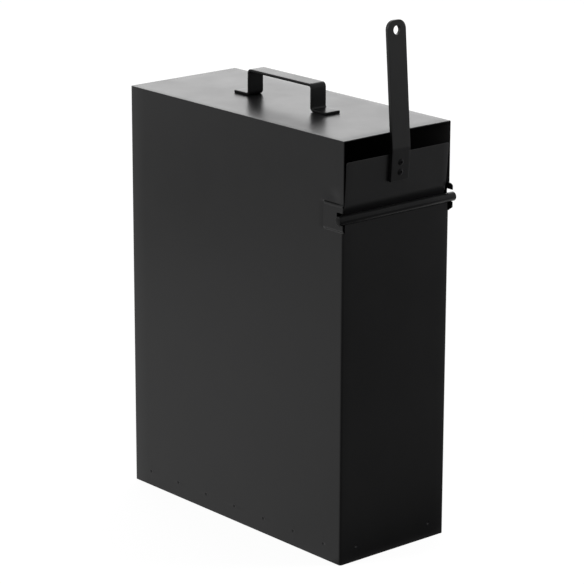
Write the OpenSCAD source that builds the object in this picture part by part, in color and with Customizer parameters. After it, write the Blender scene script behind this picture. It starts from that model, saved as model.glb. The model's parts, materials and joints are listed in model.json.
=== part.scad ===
// Ash bucket: a tall narrow sheet steel box with a carry handle on its top and a lever flap over its mouth.
// Millimetres, +Z up. The origin is the centre of the base, and the mouth faces -Y.

/* [Body] */
// Outer width of the box
body_w = 150; // [120:1:200]
// Outer length of the box, front to back
body_l = 352; // [300:1:420]
// Outer height of the box, without handle and lever
body_h = 460; // [380:1:560]
// Thickness of the sheet
sheet_t = 1; // [0.8:0.1:1.5]
// Outer radius of the folded edges
fold_r = 2.5; // [2:0.1:4]
// Width of the flanges turned in at the back
rear_flange_w = 15; // [12:1:25]
// Height of the base pan's upturned flanges
pan_flange_h = 30; // [24:1:45]

/* [Mouth] */
// Depth of the hinge axis below the top of the box
hinge_drop = 82.5; // [70:0.5:110]
// Distance of the hinge axis behind the front face
hinge_in = 0.5; // [0.2:0.1:1.5]
// Height of the slot left open above the closed flap
slot_h = 21.5; // [12:0.5:30]

/* [Hinge] */
// Diameter of the hinge rod
rod_d = 10; // [8:0.5:12]
// Length of each rod end that stands out of its pocket
rod_proud = 4; // [2:0.5:8]
// Chamfer on the rod ends
rod_chamfer = 1; // [0.5:0.1:1.5]
// How far the side walls are pressed out round the rod
pocket_out = 3; // [1.5:0.1:3.5]
// Height of the pressed pocket
pocket_h = 30; // [27:0.5:36]
// Height of the pocket's middle above the hinge axis
pocket_rise = 0.8; // [0:0.1:2]
// Length of the pocket behind the front face
pocket_l = 33; // [26:0.5:45]
// Run of the slopes at the pocket's top and bottom
pocket_slope = 3; // [2:0.1:4]
// Run of the slope at the back of the pocket
pocket_rear_slope = 7; // [4:0.5:10]
// How far the pocket stands out in front of the front face
pocket_lip = 2.3; // [1:0.1:3.5]
// Free height above the rod in its notch
notch_gap = 3; // [1.5:0.1:4]
// Free space behind the upper half of the rod in its notch
notch_back = 1; // [0:0.1:2]
// Height of the slit along the pocket's top edge
slit_h = 0.5; // [0.4:0.1:1]
// Distance of the slit's front end behind the front face
slit_in = 6; // [4:0.5:9]
// Length of the slit
slit_l = 23; // [15:0.5:25]

/* [Flap] */
// Thickness of the flap
flap_t = 1.2; // [1:0.1:2]
// Length of the flap below the hinge axis
flap_lip = 9; // [7:0.5:12]
// How far the flap steps forward above the rod
flap_step = 3; // [1:0.5:3.5]
// Height above the hinge axis where that step starts
step_z = 4; // [3:0.5:6]
// Height of the slope of the step
step_run = 9; // [7:0.5:12]
// Gap between the flap and each side wall
flap_side_gap = 2.2; // [1:0.1:3]
// Radius of the flap's top corners
flap_corner_r = 2; // [1:0.5:5]

/* [Lever] */
// Width of the lever
lever_w = 25; // [20:1:30]
// Thickness of the lever
lever_t = 4; // [3:0.5:4.5]
// Length of the lever that lies on the flap
lever_lap = 29; // [24:1:34]
// Distance from the flap's edge to the lever's bend
lever_neck = 4; // [3:0.5:8]
// Inner radius of the lever's bend
lever_bend_r = 16; // [10:1:24]
// Angle of the lever's bend
lever_bend = 8.25; // [7.5:0.05:10]
// Height of the lever's tip above the top of the box
lever_over = 115; // [90:1:150]
// Radius of the two corners of the lever's round end
lever_end_r = 10; // [7:0.5:10]
// Diameter of the hole at the lever's tip
lever_hole_d = 9.5; // [8:0.5:11]
// Distance of the hole's centre below the tip
lever_hole_in = 10.5; // [10:0.5:14]
// Diameter of the lever's rivets
rivet_d = 4; // [3:0.5:5]
// Distance between the two rivets
rivet_pitch = 10.6; // [9.5:0.1:13]
// Diameter of the rivet heads
rivet_head_d = 7.6; // [6.5:0.1:8.6]
// Height of the rivet heads
rivet_head_h = 1.4; // [1:0.1:2]
// Diameter of the blind hole in each rivet head
rivet_hole_d = 2.6; // [2:0.1:3]

/* [Carry handle] */
// Width of the handle strap
strap_w = 20; // [16:1:28]
// Thickness of the handle strap
strap_t = 3; // [2:0.5:4]
// Outer distance over the two legs
handle_span = 106; // [90:1:140]
// Height of the handle above the top panel
handle_h = 30; // [26:1:45]
// Length of each foot outside its leg
foot_l = 22; // [18:1:34]
// Inner radius of the strap's bends
strap_bend_r = 2; // [1:0.5:4]

/* [Spot welds] */
// Height of the row of welds above the floor
weld_z = 17; // [12:1:20]
// Distance of the first weld from the front face
weld_first = 27; // [20:1:35]
// Pitch of the welds along the side walls
weld_pitch = 49.2; // [40:0.2:65]
// Distance of the front welds from the side faces
weld_inset = 22.5; // [15:0.5:35]
// Pitch of the welds up the rear flanges
rear_weld_pitch = 70; // [50:1:100]
// Diameter of the mark that a weld leaves
weld_d = 3.4; // [2.5:0.1:5]
// Depth of the mark
weld_dip = 0.6; // [0.1:0.05:0.7]

/* [Hidden] */
$fn = 64;

// Clearance of the turning rod in its notch and over the front panel
rod_fit = 0.1;
panel_fit = 0.4;
// Radial clearance of the rivets in their holes
rivet_fit = 0.05;
// Clearance of the closed lever at the top panel's front edge, its stop
stop_fit = 0.5;
// Overrun of the cutting shapes
over = 1;

front_y = -body_l / 2;
rear_y = body_l / 2;
wall_x = body_w / 2 - sheet_t;
wall_top = body_h - sheet_t;
inner_fold_r = fold_r - sheet_t;

hinge_y = front_y + hinge_in;
hinge_z = body_h - hinge_drop;
rod_r = rod_d / 2;
rod_l = body_w + 2 * (pocket_out + rod_proud);

pocket_mid_z = hinge_z + pocket_rise;
pocket_z0 = pocket_mid_z - pocket_h / 2;
pocket_z1 = pocket_mid_z + pocket_h / 2;
panel_top = hinge_z - rod_r - panel_fit;

// The flap and what it carries are drawn in the flap's own frame: the hinge axis is its origin,
// Y runs square to the plate towards the back, and Z runs up the plate.
flap_w = 2 * (wall_x - flap_side_gap);
flap_reach = hinge_drop - sheet_t - slot_h;
flap_y = rod_r;
face_y = flap_y - flap_step;
lever_y = face_y - lever_t;
// How far the bends at the step's ends are higher on the back of the plate than on its front
step_shift = flap_t * tan(atan2(flap_step, step_run) / 2);
lever_z0 = flap_reach - lever_lap;
bend_z = flap_reach + lever_neck;
bend_y = face_y + lever_bend_r;
bend_mid_r = lever_bend_r + lever_t / 2;
bend_steps = 6;

// The flap falls shut until its lever meets the front edge of the top panel, and that sets its tilt
arm_inset = lever_bend_r + bend_z * sin(lever_bend) - bend_y * cos(lever_bend);
edge_reach = sqrt(pow(hinge_in, 2) + pow(hinge_drop, 2));
lever_lean = asin((arm_inset - stop_fit) / edge_reach) - atan2(hinge_in, hinge_drop);
flap_tilt = lever_bend - lever_lean;
lever_rise = lever_over + hinge_drop - bend_y * sin(flap_tilt) - bend_z * cos(flap_tilt);
lever_upper_l = (lever_rise - bend_mid_r * sin(lever_lean)) / cos(lever_lean);
rivet_mid_z = flap_reach - lever_lap / 2;
rivet_zs = [rivet_mid_z - rivet_pitch / 2, rivet_mid_z + rivet_pitch / 2];
rivet_tail_d = 1.6 * rivet_d;
rivet_tail_h = rivet_d / 4;

// Beads that join the flap to the rod, in the corner under the rod
bead_l = 16;
bead_foot = 3;
bead_count = 4;
bead_pitch = flap_w / bead_count;

weld_count = floor((body_l - 2 * weld_first) / weld_pitch) + 1;
rear_weld_count = floor((body_h - 2 * weld_z) / rear_weld_pitch) + 1;
weld_sphere_r = (pow(weld_d / 2, 2) + pow(weld_dip, 2)) / (2 * weld_dip);

// Rectangle with its back corners rounded, and its front corners too when front_r is above zero
module plan(w, y0, y1, r, front_r) {
    difference() {
        translate([-w / 2, y0]) square([w, y1 - y0]);
        for (side = [0, 1]) mirror([side, 0]) {
            translate([w / 2, y1]) rotate(180) corner_waste(r);
            if (front_r > 0) translate([w / 2, y0]) rotate(90) corner_waste(front_r);
        }
    }
}

// What a round of radius r leaves over in a square corner that opens along +X and +Y
module corner_waste(r) {
    difference() {
        translate([-over, -over]) square([r + over, r + over]);
        translate([r, r]) circle(r);
        translate([r, -2 * over]) square([3 * over, 2 * over + 2 * r]);
        translate([-2 * over, r]) square([2 * over + 2 * r, 3 * over]);
    }
}

// Wall of the box in plan, with the open back between the rear flanges
module wall_plan(front_r) {
    inner_r = front_r > 0 ? inner_fold_r : 0;
    difference() {
        plan(body_w, front_y, rear_y, fold_r, front_r);
        plan(2 * wall_x, front_y + sheet_t, rear_y - sheet_t, inner_fold_r, inner_r);
        translate([rear_flange_w - body_w / 2, rear_y - 2 * sheet_t])
            square([body_w - 2 * rear_flange_w, 3 * sheet_t]);
    }
}

// Pressed pocket as a solid: its plan runs up Z, its elevation runs along Y, and it is their common part
module pocket_form(skin) {
    face_x = body_w / 2 - skin;
    intersection() {
        translate([0, 0, pocket_z0 - over])
            linear_extrude(pocket_h + 2 * over)
                polygon([
                    [wall_x - over, front_y - pocket_lip - skin],
                    [face_x + pocket_out, front_y - pocket_lip - skin],
                    [face_x + pocket_out, front_y + pocket_l - pocket_rear_slope],
                    [face_x, front_y + pocket_l],
                    [wall_x - over, front_y + pocket_l]
                ]);
        translate([0, front_y + pocket_l + over, 0])
            rotate([90, 0, 0])
                linear_extrude(pocket_l + pocket_lip + skin + 2 * over)
                    polygon([
                        [wall_x - over, pocket_z0],
                        [face_x, pocket_z0],
                        [face_x + pocket_out, pocket_z0 + pocket_slope],
                        [face_x + pocket_out, pocket_z1 - pocket_slope],
                        [face_x, pocket_z1],
                        [wall_x - over, pocket_z1]
                    ]);
    }
}

// Notch that is open to the front: a round seat under the rod and free height above it
module rod_notch() {
    seat_r = rod_r + rod_fit;
    reach = hinge_in + pocket_lip + over;
    translate([wall_x - over, hinge_y, hinge_z])
        rotate([90, 0, 90])
            linear_extrude(pocket_out + sheet_t + 2 * over) {
                circle(seat_r);
                translate([-reach, -seat_r]) square([reach, 2 * seat_r]);
                translate([-reach, 0]) square([reach + seat_r, rod_r + notch_gap]);
                translate([-reach, rod_r / 2])
                    square([reach + seat_r + notch_back, rod_r / 2 + notch_gap]);
            }
}

// Slit along the pocket's top edge
module pocket_slit() {
    translate([wall_x - over, front_y + slit_in, pocket_z1 - slit_h / 2])
        cube([pocket_out + sheet_t + 2 * over, slit_l, slit_h]);
}

// Shallow round mark on a face whose outside is towards +X
module weld_mark() {
    translate([weld_sphere_r - weld_dip, 0, 0]) sphere(weld_sphere_r);
}

module side_weld_marks() {
    for (i = [0 : weld_count - 1])
        translate([body_w / 2, front_y + weld_first + i * weld_pitch, weld_z]) weld_mark();
}

module front_weld_mark() {
    translate([body_w / 2 - weld_inset, front_y, weld_z]) rotate([0, 0, -90]) weld_mark();
}

module rear_weld_marks() {
    for (i = [0 : rear_weld_count - 1])
        translate([(body_w - rear_flange_w) / 2, rear_y, weld_z + i * rear_weld_pitch])
            rotate([0, 0, 90]) weld_mark();
}

// One folded sheet: front panel, both side walls and the flanges turned in at the back
module body_shell() {
    color([0.13, 0.13, 0.13])
        difference() {
            union() {
                linear_extrude(pocket_z0) wall_plan(fold_r);
                translate([0, 0, pocket_z0])
                    linear_extrude(wall_top - pocket_z0)
                        difference() {
                            wall_plan(0);
                            translate([-wall_x, front_y - over]) square([2 * wall_x, sheet_t + 2 * over]);
                        }
                translate([fold_r - body_w / 2, front_y, pocket_z0])
                    cube([body_w - 2 * fold_r, sheet_t, panel_top - pocket_z0]);
                for (side = [0, 1]) mirror([side, 0, 0])
                    intersection() {
                        pocket_form(0);
                        translate([wall_x, front_y - body_l, 0])
                            cube([body_w, 2 * body_l, body_h]);
                    }
            }
            for (side = [0, 1]) mirror([side, 0, 0]) {
                pocket_form(sheet_t);
                rod_notch();
                pocket_slit();
                side_weld_marks();
                front_weld_mark();
                rear_weld_marks();
            }
        }
}

// Flat panel that closes the back, inside the rear flanges
module rear_panel() {
    color([0.12, 0.12, 0.12])
        translate([fold_r - body_w / 2, rear_y - 2 * sheet_t, 0])
            cube([body_w - 2 * fold_r, sheet_t, wall_top]);
}

// Edge of the pan: a round fold and an upright flange, its outside on the plane X = 0, running along +Y
module pan_edge(length) {
    translate([0, length, 0])
        rotate([90, 0, 0])
            linear_extrude(length) {
                intersection() {
                    difference() {
                        translate([-fold_r, fold_r]) circle(fold_r);
                        translate([-fold_r, fold_r]) circle(inner_fold_r);
                    }
                    translate([-fold_r, 0]) square([fold_r, fold_r]);
                }
                translate([-sheet_t, fold_r]) square([sheet_t, pan_flange_h - fold_r]);
            }
}

// Tray that closes the bottom, with its flanges against the walls
module base_pan() {
    pan_y0 = front_y + sheet_t;
    pan_y1 = rear_y - 2 * sheet_t;
    pan_l = pan_y1 - pan_y0;
    floor_w = 2 * (wall_x - fold_r);
    floor_l = pan_l - 2 * fold_r;
    color([0.12, 0.12, 0.12]) {
        translate([-floor_w / 2, pan_y0 + fold_r, 0]) cube([floor_w, floor_l, sheet_t]);
        for (side = [0, 1]) mirror([side, 0, 0])
            translate([wall_x, pan_y0 + fold_r, 0]) pan_edge(floor_l);
        translate([floor_w / 2, pan_y0, 0]) rotate([0, 0, -90]) mirror([0, 1, 0]) pan_edge(floor_w);
        translate([floor_w / 2, pan_y1, 0]) rotate([0, 0, 90]) pan_edge(floor_w);
    }
}

// Flat lid of the box, flush with the outer faces
module top_panel() {
    color([0.2, 0.2, 0.2])
        translate([0, 0, wall_top])
            linear_extrude(sheet_t) plan(body_w, front_y, rear_y, fold_r, 0);
}

// Quarter of a bent strap, its inner radius centred on the origin, in the quadrant +X +Y
module strap_bend() {
    intersection() {
        difference() {
            circle(strap_bend_r + strap_t);
            circle(strap_bend_r);
        }
        square(strap_bend_r + strap_t);
    }
}

// Half of the handle's outline, from its middle to the end of one foot
module half_handle_outline() {
    bend = strap_bend_r + strap_t;
    leg_x = handle_span / 2;
    translate([0, handle_h - strap_t]) square([leg_x - bend, strap_t]);
    translate([leg_x - bend, handle_h - bend]) strap_bend();
    translate([leg_x - strap_t, bend]) square([strap_t, handle_h - 2 * bend]);
    translate([leg_x + strap_bend_r, bend]) rotate(180) strap_bend();
    translate([leg_x + strap_bend_r, 0]) square([foot_l - strap_bend_r, strap_t]);
}

// Strap bent into a bridge with two feet on the top panel
module carry_handle() {
    color([0.1, 0.1, 0.1])
        translate([-strap_w / 2, 0, body_h])
            rotate([90, 0, 90])
                linear_extrude(strap_w)
                    for (side = [0, 1]) mirror([side, 0]) half_handle_outline();
}

// Places what is drawn in the flap's frame
module in_flap_frame() {
    translate([0, hinge_y, hinge_z]) rotate([flap_tilt, 0, 0]) children();
}

// Holes or shanks of the lever's rivets, along the flap's own Y
module rivet_bores(d, y0, y1) {
    for (z = rivet_zs)
        translate([0, y1, z]) rotate([90, 0, 0]) cylinder(d = d, h = y1 - y0);
}

// Short beads in the corner between the plate and the underside of the rod
module weld_beads() {
    for (i = [0 : bead_count - 1])
        translate([(i - (bead_count - 1) / 2) * bead_pitch - bead_l / 2, 0, 0])
            rotate([90, 0, 90])
                linear_extrude(bead_l)
                    difference() {
                        polygon([
                            [flap_y, 0],
                            [flap_y, -rod_r - bead_foot / 2],
                            [flap_y - bead_foot, -rod_r]
                        ]);
                        circle(rod_r);
                    }
}

// Side view of the plate: a lip behind the rod, a step forward above it and the flat face over the mouth
module flap_profile() {
    polygon([
        [flap_y, -flap_lip],
        [flap_y + flap_t, -flap_lip],
        [flap_y + flap_t, step_z + step_shift],
        [face_y + flap_t, step_z + step_run + step_shift],
        [face_y + flap_t, flap_reach],
        [face_y, flap_reach],
        [face_y, step_z + step_run],
        [flap_y, step_z]
    ]);
}

// Plate that closes the mouth; it lies against the back of the rod, and its lip hangs behind the front panel
module flap_plate() {
    color([0.17, 0.17, 0.17])
        in_flap_frame()
            difference() {
                union() {
                    translate([-flap_w / 2, 0, 0])
                        rotate([90, 0, 90]) linear_extrude(flap_w) flap_profile();
                    weld_beads();
                }
                for (side = [0, 1]) mirror([side, 0, 0])
                    translate([flap_w / 2, flap_y + flap_t + over, flap_reach])
                        rotate([90, 0, 0])
                            linear_extrude(flap_step + flap_t + 2 * over)
                                rotate(180) corner_waste(flap_corner_r);
                rivet_bores(rivet_d + 2 * rivet_fit, face_y - over, face_y + flap_t + over);
            }
}

// Round bar that carries the flap, with chamfered ends
module hinge_rod() {
    color([0.15, 0.15, 0.15])
        in_flap_frame()
            rotate([0, 90, 0])
                rotate_extrude()
                    polygon([
                        [0, -rod_l / 2],
                        [rod_r - rod_chamfer, -rod_l / 2],
                        [rod_r, rod_chamfer - rod_l / 2],
                        [rod_r, rod_l / 2 - rod_chamfer],
                        [rod_r - rod_chamfer, rod_l / 2],
                        [0, rod_l / 2]
                    ]);
}

// Places what is drawn in the frame of the lever's arm, its origin on the arm's front at the bend
module in_arm_frame() {
    translate([0, bend_y, bend_z])
        rotate([-lever_bend, 0, 0])
            translate([0, -lever_bend_r - lever_t, 0]) children();
}

// Point at distance z up the arm from the bend, on the arm's side of radius r
function arm_point(r, z) = [
    bend_y - r * cos(lever_bend) + z * sin(lever_bend),
    bend_z + r * sin(lever_bend) + z * cos(lever_bend)
];

// Points round the bend from angle a to angle b, at radius r
function bend_points(r, a, b) = [
    for (i = [0 : bend_steps])
        let (turn = a + (b - a) * i / bend_steps)
        [bend_y - r * cos(turn), bend_z + r * sin(turn)]
];

// Side view of the bent bar: its lap on the flap, the bend and the arm
module lever_profile() {
    outer_r = lever_bend_r + lever_t;
    polygon(concat(
        [[face_y, lever_z0], [lever_y, lever_z0]],
        bend_points(outer_r, 0, lever_bend),
        [arm_point(outer_r, lever_upper_l), arm_point(lever_bend_r, lever_upper_l)],
        bend_points(lever_bend_r, lever_bend, 0)
    ));
}

// Front view of the bar, with its round end
module lever_face() {
    lap_l = bend_z - lever_z0 + lever_w;
    difference() {
        translate([-lever_w / 2, -lap_l]) square([lever_w, lever_upper_l + lap_l]);
        for (side = [0, 1]) mirror([side, 0])
            translate([lever_w / 2, lever_upper_l]) rotate(180) corner_waste(lever_end_r);
    }
}

// Flat bar on the flap's outside, bent back above it
module lever() {
    reach_y = lever_lap + lever_bend_r;
    color([0.15, 0.15, 0.15])
        in_flap_frame()
            difference() {
                intersection() {
                    translate([-lever_w / 2 - over, 0, 0])
                        rotate([90, 0, 90]) linear_extrude(lever_w + 2 * over) lever_profile();
                    in_arm_frame()
                        translate([0, reach_y, 0])
                            rotate([90, 0, 0]) linear_extrude(2 * reach_y) lever_face();
                }
                in_arm_frame()
                    translate([0, lever_t + over, lever_upper_l - lever_hole_in])
                        rotate([90, 0, 0]) cylinder(d = lever_hole_d, h = lever_t + 2 * over);
                rivet_bores(rivet_d + 2 * rivet_fit, lever_y - over, face_y + over);
            }
}

// Low round head, flat on the plane Y = 0 and domed towards -Y
module rivet_head(d, h) {
    ball_r = (d * d / 4 + h * h) / (2 * h);
    intersection() {
        translate([0, ball_r - h, 0]) sphere(ball_r);
        rotate([90, 0, 0]) cylinder(d = d + over, h = h + over);
    }
}

// Two blind rivets through lever and flap, each with the hole that its pin has left in the head
module lever_rivets() {
    color([0.1, 0.1, 0.1])
        in_flap_frame()
            difference() {
                union() {
                    rivet_bores(rivet_d, lever_y, face_y + flap_t);
                    for (z = rivet_zs) {
                        translate([0, lever_y, z]) rivet_head(rivet_head_d, rivet_head_h);
                        translate([0, face_y + flap_t, z])
                            mirror([0, 1, 0]) rivet_head(rivet_tail_d, rivet_tail_h);
                    }
                }
                rivet_bores(rivet_hole_d, lever_y - rivet_head_h - over, lever_y);
            }
}

body_shell();
rear_panel();
base_pan();
top_panel();
carry_handle();
flap_plate();
hinge_rod();
lever();
lever_rivets();
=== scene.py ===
"""Ash bucket in black powder coat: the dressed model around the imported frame, in metres."""

import json
import logging
import math
from dataclasses import dataclass, field
from enum import Enum

import bpy
import numpy as np
from mathutils import Matrix, Vector

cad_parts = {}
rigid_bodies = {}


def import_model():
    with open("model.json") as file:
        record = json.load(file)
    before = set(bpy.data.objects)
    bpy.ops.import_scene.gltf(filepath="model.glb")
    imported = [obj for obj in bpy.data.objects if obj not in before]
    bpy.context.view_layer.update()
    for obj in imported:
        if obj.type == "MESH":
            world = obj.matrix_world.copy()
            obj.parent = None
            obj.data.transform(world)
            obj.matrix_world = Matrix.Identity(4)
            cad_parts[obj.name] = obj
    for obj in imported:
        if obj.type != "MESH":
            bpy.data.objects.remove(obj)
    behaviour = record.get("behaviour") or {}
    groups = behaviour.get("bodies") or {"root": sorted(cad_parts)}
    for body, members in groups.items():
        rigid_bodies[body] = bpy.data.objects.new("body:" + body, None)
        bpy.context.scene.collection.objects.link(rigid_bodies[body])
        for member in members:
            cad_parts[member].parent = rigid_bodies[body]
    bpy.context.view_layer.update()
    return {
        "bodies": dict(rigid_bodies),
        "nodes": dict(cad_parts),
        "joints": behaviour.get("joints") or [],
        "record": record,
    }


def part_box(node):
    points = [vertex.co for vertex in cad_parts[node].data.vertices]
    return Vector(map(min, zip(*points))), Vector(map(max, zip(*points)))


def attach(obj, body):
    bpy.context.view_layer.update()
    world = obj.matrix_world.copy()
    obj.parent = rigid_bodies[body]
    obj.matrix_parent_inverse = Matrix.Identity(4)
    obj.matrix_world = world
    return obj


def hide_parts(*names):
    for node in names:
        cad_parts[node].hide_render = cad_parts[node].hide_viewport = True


LOG = logging.getLogger("ash_bucket")
MM = 0.001
# Values along a line are told apart to this many decimal places of a metre.
DIGITS = 9
# A normal is divided by no less than this.
LEAST = 1e-12

Pair = tuple[float, float]
Triple = tuple[float, float, float]
Tree = bpy.types.NodeTree
Socket = bpy.types.NodeSocket


class Body(Enum):
    """The two rigid bodies of the bucket."""

    BOX = "box"
    FLAP = "flap"


class Slot(Enum):
    """The record's material slots."""

    SHEET = "painted_sheet"
    BAR = "painted_bar"


class Coat(Enum):
    """The coats: one black powder coat, whose gloss differs a little from piece to piece, so that each
    piece reads lighter or darker: lit and shaded copies, a painted light and shade.
    """

    SHELL = "black_coat_on_shell"
    STRAP = "black_coat_on_strap"
    FLAP = "black_coat_on_flap"
    LEVER = "black_coat_on_lever"
    ROD = "black_coat_on_rod"
    RIVET = "black_coat_on_rivet"


@dataclass(frozen=True)
class Surface:
    """Points in space and the quads between them; a quad that names a point twice is a triangle."""

    points: np.ndarray
    quads: np.ndarray

    @staticmethod
    def grid(points: np.ndarray, flip: bool = False) -> "Surface":
        """Joins the points of a grid.

        The corners of cell (i, j) are the points (i, j), (i, j + 1), (i + 1, j + 1) and (i + 1, j).

        Args:
            points: Array of rows by columns by 3.
            flip: Turns every quad over.

        Returns:
            The surface through the points.
        """
        rows, cols = points.shape[:2]
        index = np.arange(rows * cols).reshape(rows, cols)
        corners = [index[:-1, :-1], index[:-1, 1:], index[1:, 1:], index[1:, :-1]]
        quads = np.stack(corners, axis=-1).reshape(-1, 4)
        return Surface(points.reshape(-1, 3), quads[:, ::-1] if flip else quads)

    @staticmethod
    def joined(parts: list["Surface"]) -> "Surface":
        """Puts surfaces into one.

        Args:
            parts: The surfaces.

        Returns:
            One surface, in which each part keeps its own points.
        """
        starts = np.cumsum([0] + [len(part.points) for part in parts[:-1]])
        quads = [part.quads + start for part, start in zip(parts, starts)]
        return Surface(np.vstack([part.points for part in parts]), np.vstack(quads))

    def mirrored(self) -> "Surface":
        """Returns the mirror image across the plane X = 0, its faces still pointing outwards."""
        return Surface(self.points * np.array([-1.0, 1.0, 1.0]), self.quads[:, ::-1])

    def welded(self) -> "Surface":
        """Makes points that share a place, to a tenth of a micron, one.

        Returns:
            The surface with each place named once.
        """
        keys = np.round(self.points / (0.0001 * MM)).astype(np.int64)
        _, first, inverse = np.unique(keys, axis=0, return_index=True, return_inverse=True)
        return Surface(self.points[first], inverse.reshape(-1)[self.quads])

    def rim(self) -> np.ndarray:
        """Finds the free edges: those whose opposite direction no quad has.

        Returns:
            The directed edges that belong to one quad only, as pairs of point numbers.
        """
        count = len(self.points)
        edges = np.vstack([self.quads[:, [k, (k + 1) % 4]] for k in range(4)])
        edges = edges[edges[:, 0] != edges[:, 1]]
        forward = edges[:, 0] * count + edges[:, 1]
        backward = edges[:, 1] * count + edges[:, 0]
        return edges[~np.isin(forward, backward)]

    def normals(self) -> np.ndarray:
        """Works out each point's normal: the sum of its quads' cross products of diagonals.

        Returns:
            The normals, of length 1.
        """
        a, b, c, d = (self.points[self.quads[:, k]] for k in range(4))
        cross = np.cross(c - a, d - b)
        total = np.zeros_like(self.points)
        for axis in range(3):
            weights = np.repeat(cross[:, axis], 4)
            total[:, axis] = np.bincount(self.quads.reshape(-1), weights, len(self.points))
        return total / np.maximum(np.linalg.norm(total, axis=1, keepdims=True), LEAST)

    def layered(self, front: np.ndarray, back: np.ndarray) -> "Surface":
        """Makes a closed wall from two copies of the surface.

        Args:
            front: The points' places on the outer side.
            back: The points' places on the inner side.

        Returns:
            Both copies, the inner one turned over, and a strip of quads round every free edge.
        """
        count = len(self.points)
        rim = self.rim()
        strip = np.column_stack([rim[:, 1], rim[:, 0], rim[:, 0] + count, rim[:, 1] + count])
        quads = np.vstack([self.quads, self.quads[:, ::-1] + count, strip])
        return Surface(np.vstack([front, back]), quads)

    def thickened(self, thickness: float) -> "Surface":
        """Returns the closed wall between the surface and its copy, thickness behind it."""
        return self.layered(self.points, self.points - self.normals() * thickness)

    def linked(self, name: str) -> bpy.types.Object:
        """Makes a mesh object of the surface and links it to the scene.

        Args:
            name: The object's name.

        Returns:
            The object, at the origin.
        """
        same = self.quads == np.roll(self.quads, -1, axis=1)
        faces = self.quads[~same.any(axis=1)].tolist()
        for k in range(4):
            triangles = same[:, k] & (same.sum(axis=1) == 1)
            faces += np.delete(self.quads[triangles], k, axis=1).tolist()
        mesh = bpy.data.meshes.new(name)
        mesh.from_pydata(self.points.tolist(), [], faces)
        made = bpy.data.objects.new(name, mesh)
        bpy.context.scene.collection.objects.link(made)
        return made


def merged(*values: np.ndarray) -> np.ndarray:
    """Puts values along a line in rising order, with none twice to DIGITS decimal places."""
    return np.unique(np.round(np.concatenate(values), DIGITS))


def stations(*runs: Triple) -> np.ndarray:
    """Values along a line, run by run.

    Args:
        runs: For each run its first value, its last value and the largest step between values.

    Returns:
        All the runs' values, in rising order, with none twice.
    """
    values = [np.linspace(a, b, max(2, math.ceil(abs(b - a) / step) + 1)) for a, b, step in runs]
    return merged(*values)


def with_marks(values: np.ndarray, centres: np.ndarray, offsets: np.ndarray) -> np.ndarray:
    """Adds close values round each centre and drops those that would crowd them.

    Args:
        values: The values that there are.
        centres: Places of marks that need close values.
        offsets: The close values' distances from a centre, in rising order.

    Returns:
        The new values, in rising order.
    """
    inside = centres[(centres > values[0] + offsets[-1]) & (centres < values[-1] - offsets[-1])]
    if not len(inside):
        return values
    gap = 1.3 * offsets[-1]
    clear = np.abs(values[:, None] - inside[None, :]).min(axis=1) > gap
    clear[[0, -1]] = True
    close = (inside[:, None] + offsets[None, :]).reshape(-1)
    return merged(values[clear], close)


def eased(values: np.ndarray, half: float, ease: np.ndarray) -> np.ndarray:
    """Adds values at the distances ease from both ends, -half and half, and puts all in order."""
    return merged(values, half - ease, ease - half)


def arc(centre: Pair, radius: float, start: float, end: float, steps: int) -> np.ndarray:
    """Points of a circle's arc, from angle start to angle end in degrees, ends left out."""
    turn = np.radians(np.linspace(start, end, steps + 1)[1:-1])
    return np.column_stack([centre[0] + radius * np.cos(turn), centre[1] + radius * np.sin(turn)])


def soft_step(share: np.ndarray) -> np.ndarray:
    """The step s^2 (3 - 2 s) over a share s from 0 to 1, level at both ends."""
    return share**2 * (3 - 2 * share)


def rounding(distance: np.ndarray, radius: float) -> np.ndarray:
    """How far a face drops near its edge: a quarter circle of that radius over the distance."""
    left = np.clip(radius - distance, 0.0, radius)
    return radius - np.sqrt(np.maximum(radius**2 - left**2, 0.0))


def plate(flat: Surface, thickness: float, distance: np.ndarray, radius: float) -> Surface:
    """A closed plate over a flat outline, with its edges rounded.

    Args:
        flat: The outline's mesh in X and Y, seen from the plate's front; Z is ignored.
        thickness: The plate's thickness.
        distance: Each point's distance from the nearest edge.
        radius: Radius of the rounded edges.

    Returns:
        The plate, its middle on Z = 0.
    """
    up = np.zeros_like(flat.points)
    up[:, 2] = thickness / 2 - rounding(distance, radius)
    level = flat.points * np.array([1.0, 1.0, 0.0])
    return flat.layered(level + up, level - up)


def cornered_plate(
    lines: np.ndarray, half: float, corner: float, ease: np.ndarray, thickness: float
) -> Surface:
    """A closed plate with two round corners at its far end, and its edges rounded.

    Over the straight part it reaches half to either side. At the depth d into the corners it
    reaches half - corner + sqrt(corner^2 - d^2).

    Args:
        lines: Places of rows along Y, from the plate's near end to where its corners start.
        half: Half of the plate's width.
        corner: Radius of the round corners.
        ease: Distances from an edge that get a row, the last being the rounded edges' radius.
        thickness: The plate's thickness.

    Returns:
        The plate, its middle on Z = 0.
    """
    start, end = lines[0], lines[-1] + corner
    curve = lines[-1] + corner * np.sin(np.linspace(0, math.pi / 2, 7))
    rows = merged(lines, start + ease, curve, end - ease)
    depth = np.clip(rows - lines[-1], 0, corner)
    reach = half - corner + np.sqrt(np.maximum(corner**2 - depth**2, 0))
    x = eased(stations((-1, 1, 0.12)), 1, ease / half)[None, :] * reach[:, None]
    y = np.broadcast_to(rows[:, None], x.shape)
    flat = Surface.grid(np.stack([x, y, np.zeros_like(x)], axis=-1))
    ends = np.minimum(y - start, end - y)
    distance = np.minimum(reach[:, None] - np.abs(x), ends).reshape(-1)
    return plate(flat, thickness, distance, ease[-1])


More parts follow.
